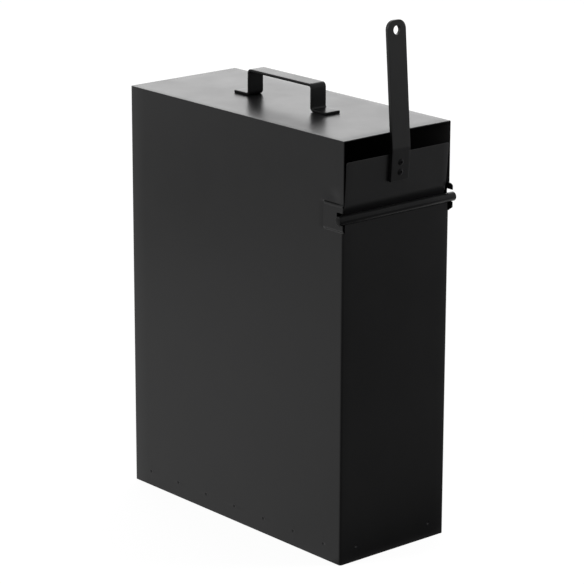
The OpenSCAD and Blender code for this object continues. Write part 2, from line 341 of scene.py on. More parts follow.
def turned(profile: np.ndarray, steps: int) -> Surface:
    """Turns a profile round the X axis.

    Args:
        profile: Places along X and radii, from the lower pole to the upper, both of radius 0.
        steps: Number of facets round the axis.

    Returns:
        The closed surface (x, r cos t, r sin t) over all angles t.
    """
    angle = np.append(np.linspace(0, 2 * math.pi, steps, endpoint=False), 0.0)
    x = np.broadcast_to(profile[:, :1], (len(profile), len(angle)))
    y = profile[:, 1:] * np.cos(angle)[None, :]
    z = profile[:, 1:] * np.sin(angle)[None, :]
    return Surface.grid(np.stack([x, y, z], axis=-1)).welded()


def feed(tree: Tree, node: bpy.types.Node, values: dict[str | int, object]) -> bpy.types.Node:
    """Feeds a node's inputs.

    Args:
        tree: The tree that the node is in.
        node: The node, its options already set.
        values: For each input the socket that is linked to it, or the value that it is set to.

    Returns:
        The node.
    """
    for name, value in values.items():
        if isinstance(value, Socket):
            tree.links.new(value, node.inputs[name])
        else:
            node.inputs[name].default_value = value
    return node


def maths(tree: Tree, operation: str, first: Socket, second: Socket | float) -> Socket:
    """Works a Math node out.

    Args:
        tree: The tree that gets the node.
        operation: What the node does.
        first: Its first value.
        second: Its second value.

    Returns:
        The result.
    """
    node = tree.nodes.new("ShaderNodeMath")
    node.operation = operation
    return feed(tree, node, {0: first, 1: second}).outputs[0]


def vector_maths(tree: Tree, operation: str, first: Socket, second: Triple, result: str) -> Socket:
    """Works a Vector Math node out.

    Args:
        tree: The tree that gets the node.
        operation: What the node does.
        first: Its first vector.
        second: Its second vector.
        result: Name of the output: Vector, or Value where the result is a number.

    Returns:
        The result.
    """
    node = tree.nodes.new("ShaderNodeVectorMath")
    node.operation = operation
    return feed(tree, node, {0: first, 1: second}).outputs[result]


@dataclass(frozen=True)
class PowderCoat:
    """Black powder coat: a satin skin with fine orange peel, over metal that is not quite flat."""

    name: str
    colour: Triple = (0.0045, 0.0045, 0.0048)
    pale: Triple = (0.0065, 0.0065, 0.0068)
    drift_size: float = 45 * MM
    roughness: Pair = (0.30, 0.34)
    rough_size: float = 40 * MM
    rough_noise: Pair = (0.3, 0.7)
    gloss: float = 0.20
    peel_size: float = 1.1 * MM
    peel_height: float = 0.004 * MM
    wave_size: float = 90 * MM
    wave_height: float = 0.25 * MM
    # Colour inside the box, ten times paler than the coat: painted light that stands in for the light
    # coming in through the mouth.
    painted_inside_light: Triple = (0.05, 0.05, 0.05)
    inside_roughness: float = 0.6
    thin_within: tuple[Triple, Triple] | None = None

    def build(self) -> bpy.types.Material:
        """Builds the node tree.

        Colour and roughness drift between two values with a soft noise. Bump adds two noises:
        long waves of the sheet and the short waves of the coat. Inside the bucket the colour is
        painted paler, a painted light that stands in for the light coming in through the mouth,
        and the roughness is higher there.

        Returns:
            The material.
        """
        material = bpy.data.materials.new(self.name)
        material.use_nodes = True
        tree = material.node_tree
        place = tree.nodes.new("ShaderNodeTexCoord").outputs["Object"]

        drift = self._noise(tree, place, self.drift_size, 3.0)
        colour = self._mixed(tree, "RGBA", drift, (*self.colour, 1.0), (*self.pale, 1.0))
        satin = feed(tree, tree.nodes.new("ShaderNodeMapRange"), {
            "Value": self._noise(tree, place, self.rough_size, 3.0),
            "From Min": self.rough_noise[0], "From Max": self.rough_noise[1],
            "To Min": self.roughness[0], "To Max": self.roughness[1],
        })
        rough = satin.outputs["Result"]
        # Painted light: inside the box the colour is paler, standing in for the light that comes in
        # through the mouth.
        if self.thin_within:
            inside = self._inside(tree, place)
            colour = self._mixed(tree, "RGBA", inside, colour, (*self.painted_inside_light, 1.0))
            rough = self._mixed(tree, "FLOAT", inside, rough, self.inside_roughness)

        waves = feed(tree, tree.nodes.new("ShaderNodeBump"), {
            "Height": self._noise(tree, place, self.wave_size, 1.0), "Distance": self.wave_height,
        })
        peel = feed(tree, tree.nodes.new("ShaderNodeBump"), {
            "Height": self._noise(tree, place, self.peel_size, 2.0), "Distance": self.peel_height,
            "Normal": waves.outputs["Normal"],
        })
        feed(tree, tree.nodes["Principled BSDF"], {
            "Base Color": colour, "Roughness": rough, "Specular IOR Level": self.gloss,
            "Normal": peel.outputs["Normal"],
        })
        return material

    def _inside(self, tree: Tree, place: Socket) -> Socket:
        """Finds the places between the two corners of thin_within.

        Args:
            tree: The material's tree.
            place: The places.

        Returns:
            1 between the corners and 0 elsewhere: the product of six tests.
        """
        split = feed(tree, tree.nodes.new("ShaderNodeSeparateXYZ"), {0: place})
        total = None
        for corner, operation in zip(self.thin_within, ("GREATER_THAN", "LESS_THAN")):
            for axis, limit in zip("XYZ", corner):
                test = maths(tree, operation, split.outputs[axis], limit)
                total = test if total is None else maths(tree, "MULTIPLY", total, test)
        return total

    @staticmethod
    def _mixed(tree: Tree, kind: str, share: Socket, first: object, second: object) -> Socket:
        """Mixes two colours or two numbers.

        Args:
            tree: The material's tree.
            kind: RGBA for colours and FLOAT for numbers.
            share: Share of the second one.
            first: The first one.
            second: The second one.

        Returns:
            The mix.
        """
        mix = tree.nodes.new("ShaderNodeMix")
        mix.data_type = kind
        return feed(tree, mix, {"Factor": share, "A": first, "B": second}).outputs["Result"]

    @staticmethod
    def _noise(tree: Tree, place: Socket, size: float, detail: float) -> Socket:
        """Adds a noise whose lumps are about size across, and returns its value."""
        values = {"Vector": place, "Scale": 1.0 / size, "Detail": detail}
        return feed(tree, tree.nodes.new("ShaderNodeTexNoise"), values).outputs["Fac"]


@dataclass
class Workshop:
    """Turns surfaces into dressed pieces of the frame."""

    frame: dict
    finishes: dict[Coat, bpy.types.Material] = field(init=False)

    def __post_init__(self) -> None:
        """Mixes the coats.

        Inside the box the coat is painted paler and made rougher in the space between its sheets, of
        which there are two at the rear: the paler colour is painted light that stands in for the
        light coming in through the mouth. That space reaches a hair into the sheets, so that it
        takes in their inner faces.
        """
        sheet, hair, bottom = 1.0 * MM, 0.03 * MM, 0.8 * MM
        low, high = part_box("top_panel")
        inside = (
            (low.x + sheet - hair, low.y + sheet - hair, bottom),
            (high.x - sheet + hair, high.y - 2 * sheet + hair, low.z + hair),
        )
        bar = {"roughness": (0.28, 0.33), "wave_height": 0.05 * MM}
        # Gloss differs so that pieces read lighter or darker: a higher gloss is painted light, a lower one
        # painted shade.
        mixes = {
            Coat.SHELL: {"thin_within": inside},
            Coat.STRAP: {"gloss": 0.14, **bar},
            Coat.FLAP: {"gloss": 0.325},
            Coat.LEVER: {"gloss": 0.25, **bar},
            Coat.ROD: {"gloss": 0.09, **bar},
            Coat.RIVET: {"gloss": 0.05, **bar},
        }
        self.finishes = {
            coat: PowderCoat(coat.value, **mix).build() for coat, mix in mixes.items()
        }

    def piece(
        self, name: str, surface: Surface, body: Body, slot: Slot, coat: Coat,
        node: str | None = None, crease: float = 35.0,
    ) -> bpy.types.Object:
        """Makes an object of a closed surface.

        Args:
            name: The piece's name.
            surface: Its shape, in place in the frame.
            body: The body that it moves with.
            slot: Its slot in the record; not used.
            coat: Its finish.
            node: The CAD node that it stands for, if any.
            crease: Angle in degrees above which an edge stays sharp.

        Returns:
            The object, riding on its body.
        """
        piece = surface.linked(name)
        mesh = piece.data
        mesh.polygons.foreach_set("use_smooth", np.ones(len(mesh.polygons), bool))
        mesh.set_sharp_from_angle(angle=math.radians(crease))
        mesh.materials.append(self.finishes[coat])
        mesh.validate()
        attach(piece, body.value)
        if node:
            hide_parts(node)
        LOG.info("%s: %d faces on %s", name, len(mesh.polygons), body.value)
        return piece

    def coat_node(self, node: str, coat: Coat) -> None:
        """Gives a carried-over CAD node its finish.

        Args:
            node: The node's name.
            coat: The finish.
        """
        mesh = self.frame["nodes"][node].data
        mesh.materials.clear()
        mesh.materials.append(self.finishes[coat])
        LOG.info("%s: finished with %s", node, coat.value)

    @staticmethod
    def cut(piece: bpy.types.Object, surfaces: list[Surface]) -> None:
        """Takes closed surfaces away from a piece.

        Args:
            piece: The piece, which gets a new mesh.
            surfaces: The spaces that are cleared.
        """
        tools = [surface.linked("cut") for surface in surfaces]
        for tool in tools:
            modifier = piece.modifiers.new("cut", "BOOLEAN")
            modifier.operation = "DIFFERENCE"
            modifier.solver = "EXACT"
            modifier.object = tool
        view = bpy.context.evaluated_depsgraph_get()
        result = bpy.data.meshes.new_from_object(piece.evaluated_get(view))
        piece.modifiers.clear()
        result.name = piece.name
        piece.data = result
        for tool in tools:
            bpy.data.objects.remove(tool)


@dataclass(frozen=True)
class Measures:
    """Sizes that several pieces share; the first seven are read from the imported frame."""

    width: float
    front: float
    rear: float
    height: float
    hinge_y: float
    hinge_z: float
    tilt: float
    sheet: float = 1.0 * MM
    fold: float = 2.5 * MM
    rod_r: float = 5.0 * MM
    flap_t: float = 1.2 * MM
    flap_reach: float = 60 * MM
    flap_step: float = 3.0 * MM
    lever_bend: float = math.radians(8.25)

    @staticmethod
    def read(frame: dict) -> "Measures":
        """Works the sizes out from the frame.

        The lever's hole gives the lean of the lever's arm, and the bend less that lean is the
        flap's tilt.

        Args:
            frame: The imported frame.

        Returns:
            The sizes.
        """
        low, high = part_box("top_panel")
        pivot = frame["joints"][0]["pos_m"]
        mounts = {mount["name"]: mount for mount in frame["record"]["mounts"]}
        axis = mounts["lever_hole"]["axis"]
        lean = math.atan2(abs(axis[2]), abs(axis[1]))
        return Measures(
            width=high.x - low.x, front=low.y, rear=high.y, height=high.z,
            hinge_y=pivot[1], hinge_z=pivot[2], tilt=Measures.lever_bend - lean,
        )

    def flap_face(self) -> float:
        """Place along Y, in the flap's frame, of the flap's face above its step."""
        return self.rod_r - self.flap_step

    def from_flap(self, surface: Surface) -> Surface:
        """Puts a surface that is drawn in the flap's frame in its place.

        In the flap's frame the hinge axis is the origin, Y runs square to the plate towards the
        back and Z up the plate, so the points turn by the tilt about X and move to the hinge.

        Args:
            surface: The surface as drawn.

        Returns:
            The surface in the frame of the whole bucket.
        """
        cos, sin = math.cos(self.tilt), math.sin(self.tilt)
        x, y, z = surface.points.T
        back = self.hinge_y + y * cos - z * sin
        up = self.hinge_z + y * sin + z * cos
        return Surface(np.column_stack([x, back, up]), surface.quads)


@dataclass
class BodyShell:
    """The folded sheet: front panel, side walls, rear flanges, hinge pockets and weld marks.

    The mesh's close columns go close_deep behind the front, and its close rows close_above over
    the pocket. The ring round a weld mark has its place and width in shares of weld_r.
    """

    size: Measures
    flange: float = 15 * MM
    panel_gap: float = 0.4 * MM
    pocket_out: float = 3.0 * MM
    pocket_low: float = -14.2 * MM
    pocket_high: float = 15.8 * MM
    pocket_slope: float = 3.6 * MM
    pocket_foot: float = 30 * MM
    pocket_rise: float = 3 * MM
    sink: float = 0.8 * MM
    sink_run: float = 8 * MM
    lip: float = 2.3 * MM
    lip_run: float = 8 * MM
    seat_gap: float = 0.1 * MM
    notch_front: float = 8 * MM
    notch_rise: float = 8 * MM
    notch_back: float = 1 * MM
    notch_corner: float = 1.2 * MM
    slit: float = 0.5 * MM
    slit_in: float = 6 * MM
    slit_length: float = 23 * MM
    dent: float = 0.9 * MM
    dent_place: Pair = (15 * MM, 5 * MM)
    dent_reach: Pair = (9 * MM, 8 * MM)
    weld_z: float = 17 * MM
    weld_first: float = 27 * MM
    weld_pitch: float = 49.2 * MM
    weld_inset: float = 22.5 * MM
    rear_weld_pitch: float = 70 * MM
    weld_r: float = 1.9 * MM
    weld_dip: float = 0.9 * MM
    ring_rise: float = 0.06 * MM
    ring_place: float = 1.2
    ring_width: float = 0.2
    close_deep: float = 44 * MM
    close_above: float = 24 * MM
    fine: float = 1.3 * MM
    finer: float = 0.5 * MM

    def __post_init__(self) -> None:
        """Works out the places that several methods use."""
        s = self.size
        self.half = s.width / 2
        self.relief_z = s.hinge_z + self.pocket_low
        self.pocket_top = s.hinge_z + self.pocket_high
        ratios = np.array([0.17, 0.5, 0.8, 1, 1.25, 1.6])
        self.offsets = np.concatenate([-ratios[::-1], ratios]) * self.weld_r
        last = s.rear - self.weld_first + MM
        self.side_marks = np.arange(s.front + self.weld_first, last, self.weld_pitch)
        self.rear_marks = np.arange(self.weld_z, s.height - self.weld_z, self.rear_weld_pitch)

    def build(self, shop: Workshop) -> None:
        """Builds the shell, dresses it and cuts its notches and slits.

        Args:
            shop: The workshop that dresses it.
        """
        half = Surface.joined([self._folded_part(), self._upper_wall(), self._panel_tongue()])
        sheet = Surface.joined([half, half.mirrored()]).welded()
        wall = sheet.thickened(self.size.sheet)
        piece = shop.piece(
            "folded_shell", wall, Body.BOX, Slot.SHEET, Coat.SHELL, "body_shell", crease=40
        )
        shop.cut(piece, [cutter(side) for cutter in (self._notch, self._slit) for side in (-1, 1)])

    def _dimple(self, distance: np.ndarray) -> np.ndarray:
        """Shape of a weld mark.

        It is the bowl 1 - r^2 inside its radius, and a faint raised ring, a bell curve, outside.

        Args:
            distance: Distances from the mark's centre.

        Returns:
            The depth there.
        """
        ratio = distance / self.weld_r
        bowl = self.weld_dip * np.clip(1 - ratio**2, 0, None)
        return bowl - self.ring_rise * np.exp(-(((ratio - self.ring_place) / self.ring_width) ** 2))

    def _marks(self, along: np.ndarray, up: np.ndarray, centres: list[Pair]) -> np.ndarray:
        """Sums the depths of weld marks.

        Args:
            along: The places' values along the sheet.
            up: The places' heights.
            centres: The marks' centres, in the same two values.

        Returns:
            The depth at each place.
        """
        depth = np.zeros(np.broadcast(along, up).shape)
        for centre in centres:
            depth = depth + self._dimple(np.hypot(along - centre[0], up - centre[1]))
        return depth

    def _flange_x(self) -> np.ndarray:
        """X values over the rear flange, from its free edge to the fold."""
        lines = stations((self.half - self.flange, self.half - self.size.fold, 6 * MM))
        return with_marks(lines, np.array([self.half - self.flange / 2]), self.offsets)

    def _wall_y(self) -> np.ndarray:
        """Works out the columns of the side wall, close together over the pocket.

        Returns:
            Y values from the rear fold to where the front fold starts.
        """
        s = self.size
        foot = s.front + self.pocket_foot
        rise = foot - self.pocket_rise
        near = s.front + self.close_deep
        lines = stations(
            (s.front + s.fold, rise, self.fine), (rise, foot, self.finer),
            (foot, near, self.fine), (near, s.rear - s.fold, 22 * MM),
        )
        return with_marks(lines, self.side_marks[self.side_marks > near], self.offsets)[::-1]

    def _rear_profile(self) -> np.ndarray:
        """Works out the plan of the sheet from the rear flange's edge to the front fold's start.

        Returns:
            Points in X and Y.
        """
        s = self.size
        flange_x = self._flange_x()
        wall_y = self._wall_y()
        flange = np.column_stack([flange_x, np.full(len(flange_x), s.rear)])
        bend = arc((self.half - s.fold, s.rear - s.fold), s.fold, 90, 0, 6)
        wall = np.column_stack([np.full(len(wall_y), self.half), wall_y])
        return np.vstack([flange, bend, wall])

    def _panel(self) -> np.ndarray:
        """Works out the plan of half of the front panel, from the fold to the middle.

        Returns:
            Points in X and Y.
        """
        lines = stations((0, self.half - self.size.fold, 12 * MM))
        x = with_marks(lines, np.array([self.half - self.weld_inset]), self.offsets)[::-1]
        return np.column_stack([x, np.full(len(x), self.size.front)])

    def _dented(self, points: np.ndarray) -> np.ndarray:
        """Presses the weld marks into a patch of flange, wall and front panel.

        Args:
            points: The patch's points.

        Returns:
            The points with each mark's depth taken off along X or Y.
        """
        s = self.size
        hair = 0.01 * MM
        x, y, z = points[..., 0], points[..., 1], points[..., 2]
        side = [(centre, self.weld_z) for centre in self.side_marks]
        rear = [(self.half - self.flange / 2, centre) for centre in self.rear_marks]
        front = [(self.half - self.weld_inset, self.weld_z)]
        result = points.copy()
        result[..., 0] -= np.where(x > self.half - hair, self._marks(y, z, side), 0)
        result[..., 1] -= np.where(y > s.rear - hair, np.maximum(self._marks(x, z, rear), 0), 0)
        result[..., 1] += np.where(y < s.front + hair, self._marks(x, z, front), 0)
        return result

    @staticmethod
    def _lofted(plan: np.ndarray, levels: np.ndarray) -> np.ndarray:
        """Carries a plan up through levels.

        Args:
            plan: Points in X and Y.
            levels: Heights.

        Returns:
            A grid of points, one row for each level.
        """
        rows = np.broadcast_to(plan, (len(levels), len(plan), 2))
        heights = np.broadcast_to(levels[:, None, None], (len(levels), len(plan), 1))
        return np.concatenate([rows, heights], axis=2)

    def _folded_part(self) -> Surface:
        """Builds the sheet below the hinge.

        Returns:
            Flange, fold, wall, fold and half of the front panel, carried straight up.
        """
        s = self.size
        fold = arc((self.half - s.fold, s.front + s.fold), s.fold, 0, -90, 6)
        plan = np.vstack([self._rear_profile(), fold, self._panel()])
        under = self.relief_z - 2 * MM
        lines = stations((0, under, 40 * MM), (under, self.relief_z, self.finer))
        levels = with_marks(lines, self.rear_marks, self.offsets)
        return Surface.grid(self._dented(self._lofted(plan, levels)), flip=True)

    def _panel_tongue(self) -> Surface:
        """The part of the front panel between the folds' reliefs, up to the rod."""
        top = self.size.hinge_z - self.size.rod_r - self.panel_gap
        levels = stations((self.relief_z, top, 3 * MM))
        return Surface.grid(self._lofted(self._panel(), levels), flip=True)

    def _upper_levels(self) -> np.ndarray:
        """Works out the rows of the side wall above the relief, close over the pocket and the dent.

        Returns:
            Heights.
        """
        slope = self.relief_z + self.pocket_slope
        clear = self.pocket_top + self.close_above
        lines = stations(
            (self.relief_z, slope, 0.45 * MM), (slope, self.pocket_top, 0.9 * MM),
            (self.pocket_top, clear, 1.5 * MM), (clear, self.size.height - self.size.sheet, 40 * MM),
        )
        far = with_marks(lines[lines > clear], self.rear_marks, self.offsets)
        return np.concatenate([lines[lines <= clear], far])

    def _upper_wall(self) -> Surface:
        """Builds the side wall above the relief, with the pressed pocket near its front.

        The press is the product of three ramps: a soft step up from the pocket's bottom, a
        quarter circle sqrt(1 - (1 - s)^2) down from its top, and a steep slope at its rear end,
        in front of which the sheet sinks as s^1.5. Above the slit is a shallow round dent, a bell
        curve. Towards the front the columns stretch over the lip, which ends in a soft step below
        and in the square of a sine above.

        Returns:
            The wall with the rear fold and the flange.
        """
        s = self.size
        edge_y = stations((s.front, s.front + s.fold, self.fine))[::-1]
        edge = np.column_stack([np.full(len(edge_y), self.half), edge_y])
        plan = np.vstack([self._rear_profile(), edge[1:]])
        points = self._dented(self._lofted(plan, self._upper_levels()))
        x, y, z = points[..., 0].copy(), points[..., 1].copy(), points[..., 2]
        deep = y - s.front
        low = np.clip((z - self.relief_z) / self.pocket_slope, 0, 1)
        high = np.clip((self.pocket_top - z) / self.pocket_slope, 0, 1)
        bulge = np.sqrt(1 - (1 - high) ** 2)
        past = self.pocket_foot - deep
        sunk = self.sink * np.clip(1 + past / self.sink_run, 0, 1) ** 1.5
        rear = -sunk + (self.pocket_out + self.sink) * np.clip(past / self.pocket_rise, 0, 1)
        press = soft_step(low) * bulge * rear
        aside = (deep - self.dent_place[0]) / self.dent_reach[0]
        over = (z - self.pocket_top - self.dent_place[1]) / self.dent_reach[1]
        dent = self.dent * np.exp(-(aside**2) - over**2)
        wall = x > self.half - 0.5 * MM
        points[..., 0] += np.where(wall, press - np.where(z > self.pocket_top, dent, dent * (1 - high)), 0)
        reach = self.lip * np.minimum(soft_step(low), np.sin(high * math.pi / 2) ** 2)
        stretch = np.clip((self.lip_run - deep) / self.lip_run, 0, 1)
        points[..., 1] = y - np.where(wall, reach * stretch, 0)
        return Surface.grid(points, flip=True)

    def _prism(self, outline: np.ndarray, side: int) -> Surface:
        """Carries an outline along X through a side wall.

        Args:
            outline: Points in Y and Z.
            side: Sign of the wall's X.

        Returns:
            The closed prism, each end a fan of triangles round its middle.
        """
        inward, outward = -4 * MM, 6 * MM
        count = len(outline)
        ring = np.column_stack([np.zeros(count), outline])
        ends = np.array([[side * (self.half + reach), 0, 0] for reach in (inward, outward)])
        points = np.vstack([ring + ends[0], ring + ends[1], ring.mean(axis=0) + ends])
        here = np.arange(count)
        there = (here + 1) % count
        walls = np.column_stack([here, there, there + count, here + count])
        near = np.column_stack([there, here, np.full((count, 2), 2 * count)])
        far = np.column_stack([here + count, there + count, np.full((count, 2), 2 * count + 1)])
        quads = np.vstack([walls, near, far])
        return Surface(points, quads if side > 0 else quads[:, ::-1])

    def _notch(self, side: int) -> Surface:
        """Works out the space of the rod's open notch.

        Args:
            side: Sign of the wall's X.

        Returns:
            The space: a round seat below and behind the rod, and free height above it.
        """
        s = self.size
        seat = s.rod_r + self.seat_gap
        corner = self.notch_corner
        front = s.front - self.notch_front
        rear = s.hinge_y + seat
        back = rear + self.notch_back
        half_up = s.hinge_z + s.rod_r / 2
        top = s.hinge_z + self.notch_rise
        outline = np.vstack([
            [[front, s.hinge_z - seat], [s.hinge_y, s.hinge_z - seat]],
            arc((s.hinge_y, s.hinge_z), seat, -90, 0, 12),
            [[rear, s.hinge_z], [rear, half_up], [back, half_up + MM], [back, top - corner]],
            arc((back - corner, top - corner), corner, 0, 90, 4),
            [[back - corner, top], [front, top]],
        ])
        return self._prism(outline, side)

    def _slit(self, side: int) -> Surface:
        """Works out the space of the slit along the pocket's top edge.

        Args:
            side: Sign of the wall's X.

        Returns:
            The space.
        """
        front = self.size.front + self.slit_in
        rear = front + self.slit_length
        low, high = self.pocket_top - self.slit / 2, self.pocket_top + self.slit / 2
        return self._prism(np.array([[front, low], [rear, low], [rear, high], [front, high]]), side)


@dataclass
class TopPanel:
    """The flat lid over the walls, with round rear corners."""

    size: Measures
    bow: float = 0.4 * MM
    bow_depth: float = 55 * MM

    def build(self, shop: Workshop) -> None:
        """Builds the lid, a plate that bows up a little in the middle of its front edge.

        The bow is a cosine across the box that dies away like a bell curve behind the front edge.

        Args:
            shop: The workshop that dresses it.
        """
        s = self.size
        ease = np.array([0, 0.12, 0.25, 0.35]) * MM
        lines = stations((s.front, s.rear - s.fold, 16 * MM))
        lid = cornered_plate(lines, s.width / 2, s.fold, ease, s.sheet)
        x, y = lid.points[:, 0], lid.points[:, 1]
        bow = np.cos(math.pi * x / s.width) * np.exp(-(((y - s.front) / self.bow_depth) ** 2))
        lid.points[:, 2] += s.height - s.sheet / 2 + self.bow * bow
        shop.piece("lid_plate", lid, Body.BOX, Slot.SHEET, Coat.SHELL, "top_panel")


@dataclass
class Bar:
    """A flat bar bent about X: straight runs and bends along its middle line."""

    start: Pair
    heading: float
    runs: list[Pair]

    def length(self) -> float:
        """Length of the middle line."""
        return sum(length for length, _ in self.runs)

    def bends(self) -> list[Pair]:
        """Where each bend starts and ends along the middle line."""
        edges = np.cumsum([0] + [length for length, _ in self.runs])
        return [(edges[k], edges[k + 1]) for k, (_, turn) in enumerate(self.runs) if turn]

    def grid(self, half: float, end: float, steps: Pair, ease: np.ndarray, whole: bool) -> np.ndarray:
        """Draws the bar flat, with close rows in its bends and at its edges.

        Args:
            half: Half of the bar's width.
            end: Length that is drawn, from the bar's start.
            steps: The largest steps across and along.
            ease: Distances from an edge that get a row.
            whole: Whether the end is an edge too.

        Returns:
            A grid of points with X across, Y along and Z = 0.
        """
        x = eased(stations((-half, half, steps[0])), half, ease)
        bent = [stations((start, stop, 0.5 * MM)) for start, stop in self.bends()]
        edges = [ease, end - ease] if whole else [ease]
        along = merged(stations((0, end, steps[1])), *edges, *bent)
        return np.stack([*np.meshgrid(x, along), np.zeros((len(along), len(x)))], axis=-1)

    def placed(self, flat: Surface) -> Surface:
        """Bends a surface that was drawn flat.

        A run of length L that turns by T has the heading h + T * u / L after the length u, so its
        points are the integral of that heading: an arc of radius L / T, or a straight line.

        Args:
            flat: Its X runs across the bar, Y along its middle line and Z out of its face.

        Returns:
            The surface with X kept and Y, Z bent into the plane of the bar's side view.
        """
        hair = 1e-9
        x, along, out = flat.points.T
        y, z = np.zeros_like(along), np.zeros_like(along)
        heading = np.full_like(along, self.heading)
        here = np.array(self.start)
        angle = self.heading
        begin = 0.0
        for number, (length, turn) in enumerate(self.runs):
            last = number == len(self.runs) - 1
            inside = (along >= begin - hair) & (last | (along < begin + length))
            u = along - begin
            if turn:
                radius = length / turn
                swing = angle + turn * u / length
                dy = radius * (np.sin(swing) - math.sin(angle))
                dz = radius * (math.cos(angle) - np.cos(swing))
                step = np.array([
                    radius * (math.sin(angle + turn) - math.sin(angle)),
                    radius * (math.cos(angle) - math.cos(angle + turn)),
                ])
            else:
                swing = np.full_like(along, angle)
                dy = u * math.cos(angle)
                dz = u * math.sin(angle)
                step = length * np.array([math.cos(angle), math.sin(angle)])
            y = np.where(inside, here[0] + dy, y)
            z = np.where(inside, here[1] + dz, z)
            heading = np.where(inside, swing, heading)
            here = here + step
            angle += turn
            begin += length
        bent = np.column_stack([x, y - out * np.sin(heading), z + out * np.cos(heading)])
        return Surface(bent, flat.quads)


@dataclass
class CarryHandle:
    """The strap that is bent into a bridge with two feet."""

    size: Measures
    thickness: float = 3 * MM
    bend: float = 2 * MM
    foot: float = 22 * MM
    edge: float = 0.5 * MM

    def build(self, shop: Workshop) -> None:
        """Draws the strap flat, rounds its edges and bends it along the feet, legs and grip.

        Args:
            shop: The workshop that dresses it.
        """
        low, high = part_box("carry_handle")
        quarter = math.pi / 2
        turn = (self.bend + self.thickness / 2) * quarter
        foot = (self.foot - self.bend, 0.0)
        leg = (high.z - low.z - 2 * self.bend - 2 * self.thickness, 0.0)
        grip = (high.y - low.y - 2 * self.foot - 2 * self.thickness - 2 * self.bend, 0.0)
        up, down = (turn, quarter), (turn, -quarter)
        runs = [foot, up, leg, down, grip, down, leg, up, foot]
        bar = Bar((low.y, low.z + self.thickness / 2), 0.0, runs)
        half = (high.x - low.x) / 2
        length = bar.length()
        ease = np.array([0, 0.08, 0.2, 0.35, 0.5]) * MM
        grid = bar.grid(half, length, (4 * MM, 12 * MM), ease, whole=True)
        ends = np.minimum(grid[..., 1], length - grid[..., 1])
        distance = np.minimum(half - np.abs(grid[..., 0]), ends).reshape(-1)
        strap = bar.placed(plate(Surface.grid(grid), self.thickness, distance, self.edge))
        shop.piece("handle_strap", strap, Body.BOX, Slot.BAR, Coat.STRAP, "carry_handle", crease=50)


@dataclass
class FlapPlate:
    """The plate over the mouth and the beads that weld it to the rod."""

    size: Measures
    lip: float = 9 * MM
    corner: float = 2 * MM
    step_z: float = 4.5 * MM
    step_run: float = 11.5 * MM
    foot_bend: float = 1.6 * MM
    head_bend: float = 3 * MM
    beads: int = 4
    bead_length: float = 16 * MM
    bead_r: float = 2.4 * MM
    bead_depth: float = 0.75
    bead_back: float = -1.2 * MM
    bead_up: float = 0.4 * MM
    ripple: float = 0.07
    ripple_pitch: float = 2 * MM

    def build(self, shop: Workshop) -> None:
        """Builds the plate against the back of the rod, then its beads.

        Args:
            shop: The workshop that dresses them.
        """
        s = self.size
        low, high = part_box("flap_plate")
        half = (high.x - low.x) / 2
        ease = np.array([0, 0.13, 0.27, 0.4]) * MM
        top = s.flap_reach - self.corner
        near = self.step_z + self.step_run + self.head_bend + 1 * MM
        lines = stations((-self.lip, 0, 4 * MM), (0, near, 0.5 * MM), (near, top, 5 * MM))
        panel = cornered_plate(lines, half, self.corner, ease, s.flap_t)
        x, z, out = panel.points.T
        forward, slope = self._step(z)
        length = np.sqrt(1 + slope**2)
        y = s.rod_r + s.flap_t / 2 - forward - out / length
        local = Surface(np.column_stack([x, y, z - out * slope / length]), panel.quads)
        shop.piece("flap_panel", s.from_flap(local), Body.FLAP, Slot.SHEET, Coat.FLAP, "flap_plate")
        shop.piece("flap_weld_beads", self._beads(half), Body.FLAP, Slot.BAR, Coat.ROD, crease=80)

    def _step(self, z: np.ndarray) -> tuple[np.ndarray, np.ndarray]:
        """The step forward above the rod.

        The slope climbs in a straight line from nothing to step over run round the step's foot
        and falls back in the same way, but softer, round its head, so the plate's place is made
        of parabolas.

        Args:
            z: Heights up the plate.

        Returns:
            How far the plate stands forward there, and its slope.
        """
        steep = self.size.flap_step / self.step_run
        forward, slope = np.zeros_like(z), np.zeros_like(z)
        head = self.step_z + self.step_run
        for sign, middle, bend in ((1, self.step_z, self.foot_bend), (-1, head, self.head_bend)):
            past = (z - middle) / bend
            curve = np.clip(past + 1, 0, 2)
            forward += sign * steep * bend * (curve**2 / 4 + np.clip(past - 1, 0, None))
            slope += sign * steep * curve / 2
        return forward, slope

    def _beads(self, half: float) -> Surface:
        """Builds the rippled beads in the corner under the rod.

        Each is a tube along X whose radius falls to nothing at its ends as sqrt(1 - t^8) and
        swells and shrinks a little with each ripple.

        Args:
            half: Half of the flap's width.

        Returns:
            The beads, evenly spread along the rod.
        """
        s = self.size
        parts = []
        turn = np.linspace(0, 2 * math.pi, 21)
        run = np.linspace(-1, 1, 61)
        wave = np.abs(np.sin(run * self.bead_length / self.ripple_pitch * math.pi / 2))
        swell = np.sqrt(np.maximum(1 - run**8, 0)) * (1 + self.ripple * wave) * self.bead_r
        for number in range(self.beads):
            middle = (number - (self.beads - 1) / 2) * 2 * half / self.beads
            x = middle + run[:, None] * self.bead_length / 2 + 0 * turn[None, :]
            y = s.rod_r + self.bead_back + swell[:, None] * np.cos(turn)[None, :] * self.bead_depth
            z = -s.rod_r + self.bead_up + swell[:, None] * np.sin(turn)[None, :]
            parts.append(Surface.grid(np.stack([x, y, z], axis=-1)).welded())
        return s.from_flap(Surface.joined(parts))


